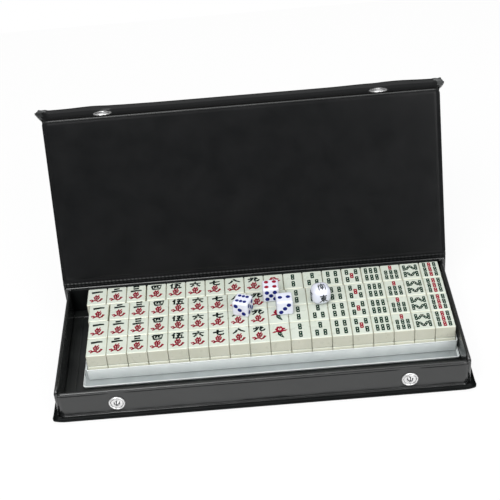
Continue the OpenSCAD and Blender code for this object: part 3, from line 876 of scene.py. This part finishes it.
def makeTray(node, name, finish):
    size = traySizes[node]
    low, high = boxMm(node)
    low += Vector((size["left"], size["front"], 0))
    high -= Vector((size["far"], size["far"], 0))
    middle = (low + high) / 2
    bm = bmesh.new()
    addBox(bm, low, high)
    bmesh.ops.delete(bm, geom=[f for f in bm.faces if f.normal.z > 0.9], context="FACES")
    for vert in bm.verts:
        if vert.co.z < middle.z:
            vert.co.x -= math.copysign(size["draft"], vert.co.x - middle.x)
            vert.co.y -= math.copysign(size["draft"], vert.co.y - middle.y)
    softenEdges(bm, edgesWhere(bm, lambda a, b: abs(a.z - b.z) > 0.1), size["corner"], 5)
    softenEdges(bm, edgesWhere(bm, lambda a, b: max(a.z, b.z) < low.z + 0.01), traySizes["footRound"], 3)
    rim = [e for e in bm.edges if e.is_boundary]
    for outward, drop in ((size["lip"], 0.0), traySizes["lipTurn"]):
        grown = bmesh.ops.extrude_edge_only(bm, edges=rim)["geom"]
        rim = [g for g in grown if isinstance(g, bmesh.types.BMEdge) and g.is_boundary]
        for vert in vertsIn(grown):
            for i in (0, 1):
                # only what lies right at a side is pushed out
                share = (vert.co[i] - middle[i]) / ((high[i] - low[i]) / 2)
                vert.co[i] += math.copysign(abs(share) ** traySizes["sidePower"], share) * outward
            vert.co.z += drop
    bmesh.ops.recalc_face_normals(bm, faces=bm.faces)
    bmesh.ops.solidify(bm, geom=bm.faces[:], thickness=traySizes["sheet"])
    for face in bm.faces:
        # rim and foot take a whiter sheet colour: a painted highlight
        spot = face.calc_center_median()
        foot = traySizes["whiteFoot"][0] < spot.z - low.z < traySizes["whiteFoot"][1]
        foot = foot and face.calc_area() < traySizes["smallFace"]
        face.material_index = int(spot.z > high.z - traySizes["whiteRim"] or foot)
    finishPiece(name, bm, node + "_body", (finish, "trayEdge"), (node,))


makeTray("tile_tray", "tileTray", "trayInner")
makeTray("lower_tray", "lowerTray", "trayOuter")
print("trays ready")


tileSizes = {
    "round": 0.9, "gap": 0.16, "rise": 0.03, "numeral": 6.2, "sign": 8.8, "signWeight": 1.08,
    "numeralWeights": (2.1, 1.9, 1.9, 1.6), "over": 0.012,
}
# brush lines of each sign on a ten by ten square, each as x, y, x, y and so on
signs = {
    "one": [(0.4, 4.2, 4, 4.8, 6, 5.4, 9.6, 5.1)],
    "two": [(2.6, 8, 5, 8.4, 7.2, 9.2), (0.6, 3.4, 4, 4, 6.4, 4.7, 9.6, 4.2)],
    "three": [(2.4, 10, 7.4, 10.6), (2.6, 5.8, 7.2, 6.4), (0.4, 1, 5, 2, 9.6, 1.8)],
    "four": [(1, 8.4, 2.2, 1.2), (1, 8.4, 9, 9, 7.8, 1.6), (4, 8.6, 3.8, 5.4, 3, 4),
             (6, 8.6, 5.8, 5, 7.4, 4.6), (2.2, 1.6, 7.8, 2)],
    "five": [(2.6, 10, 0.4, 5.6), (1.7, 7, 1.7, 0.2), (3.8, 9, 9.4, 9.4), (6.2, 9, 4.9, 1),
             (4, 5.2, 8.2, 5.6, 7.8, 1.2), (3, 0.8, 9.8, 1.2)],
    "six": [(4.4, 10, 5.6, 8.4), (0.4, 6, 4, 6.6, 9.6, 7), (3.9, 4.6, 1.4, 0.4), (6, 4.8, 9, 0.6)],
    "seven": [(0.6, 4.8, 5, 6, 9.2, 7), (4.4, 9.8, 4.2, 2, 5.6, 0.8, 8.6, 1, 9.2, 3)],
    "eight": [(3.6, 6.4, 2.4, 3, 0.2, 0.4), (4.2, 9, 6.6, 5.2, 9.9, 2.6)],
    "nine": [(2.2, 8.4, 4.8, 8.8, 3, 4, 0.6, 0.4), (0.2, 6, 3.4, 6.6),
             (6.8, 9.6, 5.8, 4, 6.4, 1.6, 8.6, 2.4, 9.8, 4.8), (6.4, 6, 8.4, 7.6)],
    "tenThousand": [(4.2, 8, 4.8, 9.9), (6, 8.2, 7, 10), (3, 6.4, 5, 8, 7.6, 7),
                    (3.4, 6, 4.2, 3.6, 6.6, 4.2, 7.3, 6.6), (3.8, 5.2, 6.9, 5.8), (5.3, 7.8, 5.5, 2),
                    (1.2, 0.7, 3.9, 2.5, 6.4, 1.2), (0, 2.6, 1.7, 3.4, 3.2, 1.4),
                    (5.8, 0.6, 7.8, 1.5, 9.9, 4.4), (7.6, 1.8, 9, 4.9)],
    "east": [(1.3, 8.1, 8.7, 8.2), (2.8, 6.7, 2.9, 4), (2.8, 6.7, 7.3, 6.8, 7.1, 4), (2.8, 5.4, 7.2, 5.4),
             (2.9, 4, 7.1, 4), (5, 9.8, 5, 0.3), (4.8, 3.8, 0.9, 0.8), (5.2, 3.8, 9.2, 0.8)],
    "south": [(1.4, 8.2, 8.6, 8.3), (5, 9.8, 5, 6.8), (1.7, 6.6, 1.7, 0.5),
              (1.7, 6.6, 8.3, 6.7, 8.3, 0.7, 7.4, 0.6), (3.7, 5.9, 4.3, 4.9), (6.3, 5.9, 5.7, 4.9),
              (3.1, 4.4, 6.9, 4.4), (3.1, 2.9, 6.9, 2.9), (5, 4.4, 5, 0.8)],
    "west": [(1, 8.9, 9, 9), (1.7, 6.8, 1.9, 1.2), (1.7, 6.8, 8.3, 6.9, 8.1, 1.2), (1.9, 1.4, 8.1, 1.5),
             (4, 8.9, 3.9, 5, 3.2, 3.6), (6, 8.9, 6, 4.1, 7.6, 3.9)],
    "north": [(4, 9.2, 4, 0.8), (1.2, 6, 4, 6.2), (0.9, 1.8, 4, 3.1),
              (6, 9.2, 6, 2, 6.9, 1.1, 9, 1.3, 9.2, 2.8), (8.7, 6.9, 6, 5)],
    "centre": [(1.5, 7.1, 1.6, 3.4), (1.5, 7.1, 8.6, 7.2, 8.4, 3.4), (1.6, 3.7, 8.4, 3.7), (5, 10, 5, 0)],
    "prosper": [(3.7, 9.6, 0.8, 6.6), (1.7, 8.7, 3.3, 7.4), (5.4, 9.6, 9.4, 6.4), (8.4, 9.3, 6.9, 8),
                (2, 6, 4.2, 6, 4, 4.6, 2, 4.6, 2, 3.2, 4.2, 3.2, 3.6, 0.4), (5.7, 6, 5.4, 4.4),
                (5.7, 6, 8, 6, 8, 4.6, 9.1, 4.6), (5.4, 3.4, 8.4, 3.4, 5.2, 0.3), (6, 2.6, 9.4, 0.3)],
}
numerals = ["one", "two", "three", "four", "five", "six", "seven", "eight", "nine"]


def solidsOf(node):
    # centres and sizes of a node's separate solids, front row first and then left to right
    bm = bmesh.new()
    bm.from_mesh(frame["nodes"][node].data)
    bmesh.ops.remove_doubles(bm, verts=bm.verts, dist=1e-6)
    left, found = set(bm.verts), []
    while left:
        island, queue = set(), [left.pop()]
        while queue:
            vert = queue.pop()
            island.add(vert)
            for edge in vert.link_edges:
                other = edge.other_vert(vert)
                if other in left:
                    left.discard(other)
                    queue.append(other)
        low = Vector([min(v.co[i] for v in island) for i in range(3)]) / mm
        high = Vector([max(v.co[i] for v in island) for i in range(3)]) / mm
        found.append(((low + high) / 2, high - low))
    bm.free()
    return sorted(found, key=lambda f: (round(f[0].y), round(f[0].x)))


def addTile(bm, centre, size):
    part = bmesh.new()
    shrink = Vector((tileSizes["gap"], tileSizes["gap"], 0)) / 2
    addBox(part, shrink - size / 2, size / 2 - shrink)
    softenEdges(part, part.edges[:], tileSizes["round"], 2)
    for face in part.faces:
        # top faces take the face ivory, the sides the creamier copy that is partly painted light
        face.material_index = 0 if face.normal.z > 0.6 else 1
    part.transform(Matrix.Translation(centre))
    joinPart(bm, part)


boldStrokes = {"tenThousand": (2, 6, 7, 8)}


def addSign(bm, at, name, x, y, size, heavy, index, wide=1.0):
    verts = []
    for number, flat in enumerate(signs[name]):
        weight = heavy * (1.3 if number in boldStrokes.get(name, ()) else 1)
        line = [(x + (a - 5) / 10 * size * wide, y + (b - 5) / 10 * size)
                for a, b in zip(flat[::2], flat[1::2])]
        if len(line) == 2:
            widths = [weight * 1.15, weight * 0.8, weight]
        else:
            widths = [weight * 1.1] + [weight] * (len(line) - 2) + [weight * 0.7]
        verts += addStroke(bm, at, line, widths, index)
    return verts


def addStick(bm, at, x, y, length, index, lean=0.0, wide=2.5):
    # a bamboo stick: dark body with a joint in the middle and two pale hollows
    half, level = length / 2, (0, 0, at[2])
    heights = (-half, -half + 0.45, -0.25, 0, 0.25, half - 0.45, half)
    widths = [wide * w for w in (0.6, 1, 1, 0.8, 1, 1, 0.6)]
    verts = addStroke(bm, level, [(0, h) for h in heights], widths, index)
    for s in (-1, 1):
        verts += addStroke(bm, level, [(0, s * half * h) for h in (0.26, 0.44, 0.62)],
                           [wide * w for w in (0.1, 0.27, 0.1)], 3, tileSizes["over"])
    turn = Matrix.Translation((at[0] + x, at[1] + y, 0)) @ Matrix.Rotation(lean, 4, "Z")
    bmesh.ops.transform(bm, matrix=turn, verts=verts)


def firstBamboo(bm, at):
    # a red bloom over a curved green leaf, in place of a bird
    green, red, pale, over = 0, 1, 3, tileSizes["over"]
    for i in range(7):
        angle = math.tau * i / 7 + 0.3
        addDisc(bm, at, 2.1 * math.cos(angle), 2.6 + 2.6 * math.sin(angle), 1.35, red, 10)
    addDisc(bm, at, 0, 2.6, 2.2, red, 14, 0.004)
    addDisc(bm, at, 0.1, 3.1, 1.25, pale, 12, over)
    addDisc(bm, at, 0.1, 3.3, 0.7, red, 10, 0.02)
    twigs = [(-1.5, 0.6), (-3.8, 0.2), (-5.6, -0.6)], [(2, 1.2), (3.8, 1.2), (5.6, 2)], [(2.6, 3), (4.2, 4)]
    addStrokes(bm, at, twigs, [0.7, 1.9, 0.3], red)
    addStroke(bm, at, [(-0.4, -0.2), (0, -2.4), (1, -4.6), (2.8, -6.8)], [2.4, 3.4, 2.2, 0.4], green)
    veins = [[(x, y), (x + 0.8, y - 0.9)] for x, y in ((-0.5, -1.6), (0.8, -2), (0.6, -3.6))]
    addStrokes(bm, at, veins, [0.3], pale, over)


stickPlaces = {
    2: [(0, 4.3, 0), (0, -4.3, 0)],
    3: [(0, 4.3, 0), (-3, -4.3, 0), (3, -4.3, 0)],
    4: [(-3, 4.3, 0), (3, 4.3, 0), (-3, -4.3, 0), (3, -4.3, 0)],
    5: [(-3.6, 4.6, 0), (3.6, 4.6, 0), (0, 0, 1), (-3.6, -4.6, 0), (3.6, -4.6, 0)],
    6: [(x, y, 0) for y in (4.3, -4.3) for x in (-3.9, 0, 3.9)],
    7: [(0, 6.1, 1)] + [(x, y, 0) for y in (0.2, -5.7) for x in (-3.9, 0, 3.9)],
    9: [(x, y, int(x == 0)) for y in (5.9, 0, -5.9) for x in (-3.9, 0, 3.9)],
}
stickLengths = {2: 6.8, 3: 6.8, 4: 6.8, 5: 6.4, 6: 7, 7: 5.3, 9: 5.4}


def bambooMarks(bm, at, count):
    if count == 1:
        firstBamboo(bm, at)
    elif count == 8:
        for s in (1, -1):
            for x, lean in ((-4.6, 0), (-1.55, -0.62), (1.55, 0.62), (4.6, 0)):
                addStick(bm, at, x, s * 4.1, 6.8 if lean == 0 else 5.8, 0, lean * s, 2.2)
    else:
        for x, y, colour in stickPlaces[count]:
            addStick(bm, at, x, y, stickLengths[count], colour, wide=2.7 if count < 6 else 2.5)


circlePlaces = {
    1: [(0, 0)], 2: [(0, 4.4), (0, -4.4)], 3: [(-3.4, 5.4), (0, 0), (3.4, -5.4)],
    4: [(-3, 4.4), (3, 4.4), (-3, -4.4), (3, -4.4)],
    5: [(-3.4, 5), (3.4, 5), (0, 0), (-3.4, -5), (3.4, -5)],
    6: [(x, y) for y in (5.6, -0.6, -5.6) for x in (-3, 3)],
    7: [(-4.2, 7), (0, 5.4), (4.2, 3.8), (-2.8, -1.4), (2.8, -1.4), (-2.8, -6), (2.8, -6)],
    8: [(x, y) for x in (-2.8, 2.8) for y in (6.6, 2.2, -2.2, -6.6)],
    9: [(x, y) for x in (-4.1, 0, 4.1) for y in (5.9, 0, -5.9)],
}
circleRadii = (5, 3.2, 2.6, 2.5, 2.2, 2.2, 1.8, 1.9, 1.85)


def circleMarks(bm, at, i):
    count = i % 9 + 1
    radius = circleRadii[count - 1]
    for number, (x, y) in enumerate(circlePlaces[count]):
        outer = (0, 2, 1)[(number + count) % 3]
        for share, step, index, sides in ((1, 0, outer, 16), (0.72, 1, 3, 16), (0.4, 2, 1, 12)):
            addDisc(bm, at, x, y, radius * share, index, sides, tileSizes["over"] * step)


def flowerMarks(bm, at, i, petal):
    number = i % 4
    for leaf in range(5):
        angle = math.tau * leaf / 5 + number
        addDisc(bm, at, 2.2 * math.cos(angle), 2 + 2.2 * math.sin(angle), 1.5, petal, 10)
    addDisc(bm, at, 0, 2, 0.9, 3, 10, tileSizes["over"])
    addStroke(bm, at, [(0, -0.4), (0.5, -3.5), (-0.4, -6.8)], [0.5, 0.7, 0.5], 0)
    leaves = [(0.3, -4), (2.2, -3), (3.8, -3.4)], [(0.3, -4.6), (-2, -4.2), (-3.6, -5)]
    addStrokes(bm, at, leaves, [0.3, 1.4, 0.2], 0)
    addSign(bm, at, numerals[number], -4.6, 7.2, 2.6, 0.5, 2)


markInks = ["greenInk", "redInk", "blueInk", "ivoryFill", "blackInk"]


def makeTiles(node, body, draw):
    solids = solidsOf(node)
    bm = bmesh.new()
    for centre, size in solids:
        addTile(bm, centre, size)
    finishPiece(node + "_tiles", bm, body, ("ivoryFace", "ivorySide"), (node,), weighted=True)
    marks = bmesh.new()
    for i, (centre, size) in enumerate(solids):
        draw(marks, (centre.x, centre.y, centre.z + size.z / 2 + tileSizes["rise"]), i)
    finishPiece(node + "_marks", marks, body, markInks, smooth=False)


def characterMarks(bm, at, count):
    weight = tileSizes["numeralWeights"][min(count - 1, 3)]
    addSign(bm, at, numerals[count - 1], 0, 5.2, tileSizes["numeral"], weight, 4, 1.5)
    addSign(bm, at, "tenThousand", -0.3, -2.5, tileSizes["sign"], tileSizes["signWeight"], 1, 1.16)


def windMarks(bm, at, i):
    addSign(bm, at, ("east", "south", "west", "north")[i % 4], 0, 0, 11, 1.3, 4, 0.95)


def dragonMarks(bm, at, i):
    if i % 3 == 0:
        addSign(bm, at, "centre", 0, 0, 12, 1.6, 1, 0.9)
    elif i % 3 == 1:
        addSign(bm, at, "prosper", 0, 0, 11.5, 1.1, 0, 0.95)
    else:
        ring = [(-5, -7.4), (5, -7.4), (5, 7.4), (-5, 7.4)]
        addStrokes(bm, at, zip(ring, ring[1:] + ring[:1]), [0.9], 2)


for count in range(1, 10):
    for kind, draw in (("character", characterMarks), ("bamboo", bambooMarks)):
        makeTiles("%s_%d" % (kind, count), "upper_layer", lambda bm, at, i: draw(bm, at, count))
for kind, draw in (("circle", circleMarks), ("wind", windMarks), ("dragon", dragonMarks)):
    makeTiles(kind + "_tiles", "lower_layer", draw)
for kind, petal in (("flower", 1), ("season", 2)):
    makeTiles(kind + "_tiles", "lower_layer", lambda bm, at, i: flowerMarks(bm, at, i, petal))
print("tiles ready")


dieSizes = {
    "round": 1.5, "pip": 1.7, "pipStep": 3.0, "rise": 0.03, "windRound": 6.0, "windTurn": 8,
    "mark": 7.6, "markWeight": 0.82,
}
onFace = (0, 0, dieSizes["rise"])
pipScale = {1: 1.5, 6: 0.82}
pipPlaces = {
    1: [(0, 0)], 2: [(-1, 0), (1, 0)], 3: [(-1, 1), (0, 0), (1, -1)],
    4: [(-1, 1), (1, 1), (-1, -1), (1, -1)], 5: [(-1, 1), (1, 1), (0, 0), (-1, -1), (1, -1)],
    6: [(x, y) for x in (-1, 1) for y in (-1, 0, 1)],
}


def faceTurns(half):
    # top, front, right, back, left and bottom faces of a die
    turns = [Matrix.Identity(4)]
    turns += [Matrix.Rotation(math.radians(a), 4, "Z") @ upright for a in (0, 90, 180, 270)]
    turns.append(Matrix.Rotation(math.pi, 4, "X"))
    return [t @ Matrix.Translation((0, 0, half)) for t in turns]


def dieBody(node, turn, soft, segments):
    low, high = boxMm(node)
    size = high.z - low.z
    place = Matrix.Translation((low + high) / 2) @ Matrix.Rotation(math.radians(turn), 4, "Z")
    bm = bmesh.new()
    bmesh.ops.create_cube(bm, size=size)
    softenEdges(bm, bm.edges[:], soft, segments)
    finishPiece(node + "_body", bm, "dice", "whiteDie", (node,), weighted=True, turn=place)
    return size, place


def makeDie(node, turn, faces, quarters=()):
    size, place = dieBody(node, turn, dieSizes["round"], 4)
    marks = bmesh.new()
    for i, (face, count) in enumerate(zip(faceTurns(size / 2), faces)):
        made = []
        quarter = Matrix.Rotation(math.pi / 2 if i in quarters else 0, 4, "Z")
        radius = dieSizes["pip"] * pipScale.get(count, 1)
        for x, y in pipPlaces[count]:
            made += addDisc(marks, onFace, x * dieSizes["pipStep"], y * dieSizes["pipStep"], radius,
                            1 if count in (1, 4) else 2, 16)
        bmesh.ops.transform(marks, matrix=face @ quarter, verts=made)
    finishPiece(node + "_pips", marks, "dice", markInks, smooth=False, turn=place)


def makeWindDie():
    soft = dieSizes["windRound"]
    size, place = dieBody("wind_die", dieSizes["windTurn"], soft, 6)
    marks = bmesh.new()
    for face, name in zip(faceTurns(size / 2), ("south", "east", "west", "north", "west", "east")):
        made = addSign(marks, onFace, name, 0.8, -1.8 if name == "south" else 0.2, dieSizes["mark"],
                       dieSizes["markWeight"], 4)
        bmesh.ops.transform(marks, matrix=face, verts=made)
    flat = size / 2 - soft
    bmesh.ops.subdivide_edges(marks, edges=[e for e in marks.edges if e.calc_length() > 1.6], cuts=2)
    for vert in marks.verts:
        # laid onto the rounded faces of the die
        inner = Vector([min(flat, max(-flat, c)) for c in vert.co])
        depth = max(abs(c) for c in vert.co) - size / 2
        vert.co = inner + (vert.co - inner).normalized() * (soft + depth)
    finishPiece("wind_die_marks", marks, "dice", markInks, smooth=False, turn=place)


makeDie("pip_die_a", -23, (6, 3, 5, 4, 2, 1), (0,))
makeDie("pip_die_b", 0, (4, 5, 1, 2, 6, 3))
makeDie("pip_die_c", 1.5, (2, 3, 1, 4, 6, 5), (1,))
makeWindDie()
print("dice ready")


# solids that show as they are and only take a finish
carried = {
    "greyCard": ("base_board", "lid_board", "front_wall_board", "back_wall_board", "left_wall_board",
                 "right_wall_board"),
    "nickel": ("snap_posts",),
}
for finish, names in carried.items():
    for name in names:
        mesh = frame["nodes"][name].data
        mesh.materials.clear()
        mesh.materials.append(finishes[finish])

lamps = {
    "key": ((-0.5, -0.9, 1.2), 1.0, 19.0), "fill": ((0.9, -1.1, 0.8), 1.0, 13.0),
    "top": ((0.1, 0.2, 1.5), 1.2, 6.0),
}
floorLook = {"half": 0.6, "sunk": 0.0002, "grey": 0.86, "glowShare": 0.9}
skyLevels = {"low": 0.03, "high": 0.55}


def makePaleFloor():
    bm = bmesh.new()
    bmesh.ops.create_grid(bm, x_segments=2, y_segments=2, size=floorLook["half"])
    mesh = bpy.data.meshes.new("floor")
    bm.to_mesh(mesh)
    bm.free()
    floor = bpy.data.objects.new("floor", mesh)
    floor.location.z = -floorLook["sunk"]
    bpy.context.scene.collection.objects.link(floor)
    mat, tree = newMaterial("paleFloor")
    diffuse = addNode(tree, "ShaderNodeBsdfDiffuse")
    setInputs(diffuse, Color=(*(floorLook["grey"],) * 3, 1))
    glow = addNode(tree, "ShaderNodeEmission")
    setInputs(glow, Strength=1)
    share = addNode(tree, "ShaderNodeMath", operation="MULTIPLY")
    share.inputs[1].default_value = floorLook["glowShare"]
    mix = addNode(tree, "ShaderNodeMixShader")
    wire(tree, addNode(tree, "ShaderNodeLightPath").outputs["Is Camera Ray"], share)
    for socket, source in enumerate((share, diffuse, glow)):
        wire(tree, source, mix, socket)
    wire(tree, mix, addNode(tree, "ShaderNodeOutputMaterial"))
    mesh.materials.append(mat)


def makeStudio():
    world = bpy.data.worlds.new("studio")
    bpy.context.scene.world = world
    world.use_nodes = True
    tree = world.node_tree
    tree.nodes.clear()
    path = addNode(tree, "ShaderNodeLightPath")
    bright = addNode(tree, "ShaderNodeMath", operation="MAXIMUM")
    wire(tree, path.outputs["Is Camera Ray"], bright)
    wire(tree, path.outputs["Is Transmission Ray"], bright, 1)
    heading = addNode(tree, "ShaderNodeSeparateXYZ")
    wire(tree, addNode(tree, "ShaderNodeTexCoord").outputs["Generated"], heading)
    height = addNode(tree, "ShaderNodeMapRange")
    setInputs(height, From_Min=0.05, From_Max=0.9, To_Min=skyLevels["low"], To_Max=skyLevels["high"])
    wire(tree, heading.outputs[2], height)
    strength = addNode(tree, "ShaderNodeMath", operation="MAXIMUM")
    wire(tree, bright, strength)
    wire(tree, height, strength, 1)
    back = addNode(tree, "ShaderNodeBackground")
    setInputs(back, Color=(1, 1, 1, 1))
    wire(tree, strength, back, "Strength")
    wire(tree, back, addNode(tree, "ShaderNodeOutputWorld"))
    for name, (place, size, power) in lamps.items():
        data = bpy.data.lights.new(name, "AREA")
        data.size, data.energy = size, power
        lamp = bpy.data.objects.new(name, data)
        lamp.location = place
        lamp.rotation_euler = (Vector((0, 0, 0.03)) - Vector(place)).to_track_quat("-Z", "Y").to_euler()
        bpy.context.scene.collection.objects.link(lamp)


makePaleFloor()
makeStudio()
bpy.context.scene.view_settings.view_transform = "Standard"
print("scene ready")
